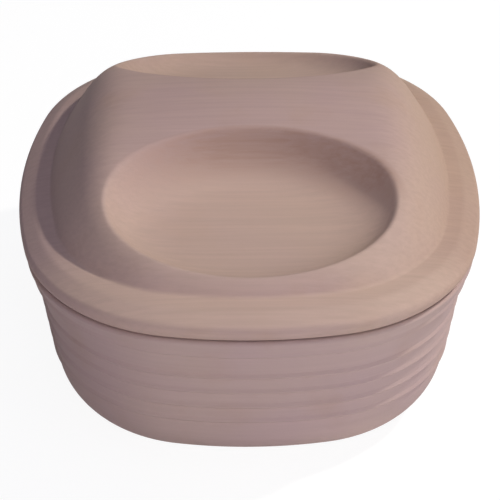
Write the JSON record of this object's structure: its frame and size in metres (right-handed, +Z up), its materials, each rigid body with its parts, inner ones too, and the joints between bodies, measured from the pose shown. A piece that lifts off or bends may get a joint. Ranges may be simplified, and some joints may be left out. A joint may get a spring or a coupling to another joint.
{
  "type": "clay roaster",
  "caption": "Unglazed clay roaster: deep rounded pot with stepped bands and a loose domed lid, gripped by a cross ridge between oval finger hollows.",
  "frame": {"origin": "centre of the flat underside of the pot, on the surface that it stands on", "axes": "+Z up, X along the grip ridge of the lid, -Y the front that the picture shows"},
  "size_m": [0.26, 0.295, 0.1586],
  "materials": {
    "pot_clay": "unglazed matte fired clay, dusty pink to tan",
    "lid_clay": "unglazed matte fired clay, dusty pink to tan"
  },
  "bodies": {
    "root": {"pot": "pot_clay", "lid": "lid_clay"}
  },
  "joints": []
}
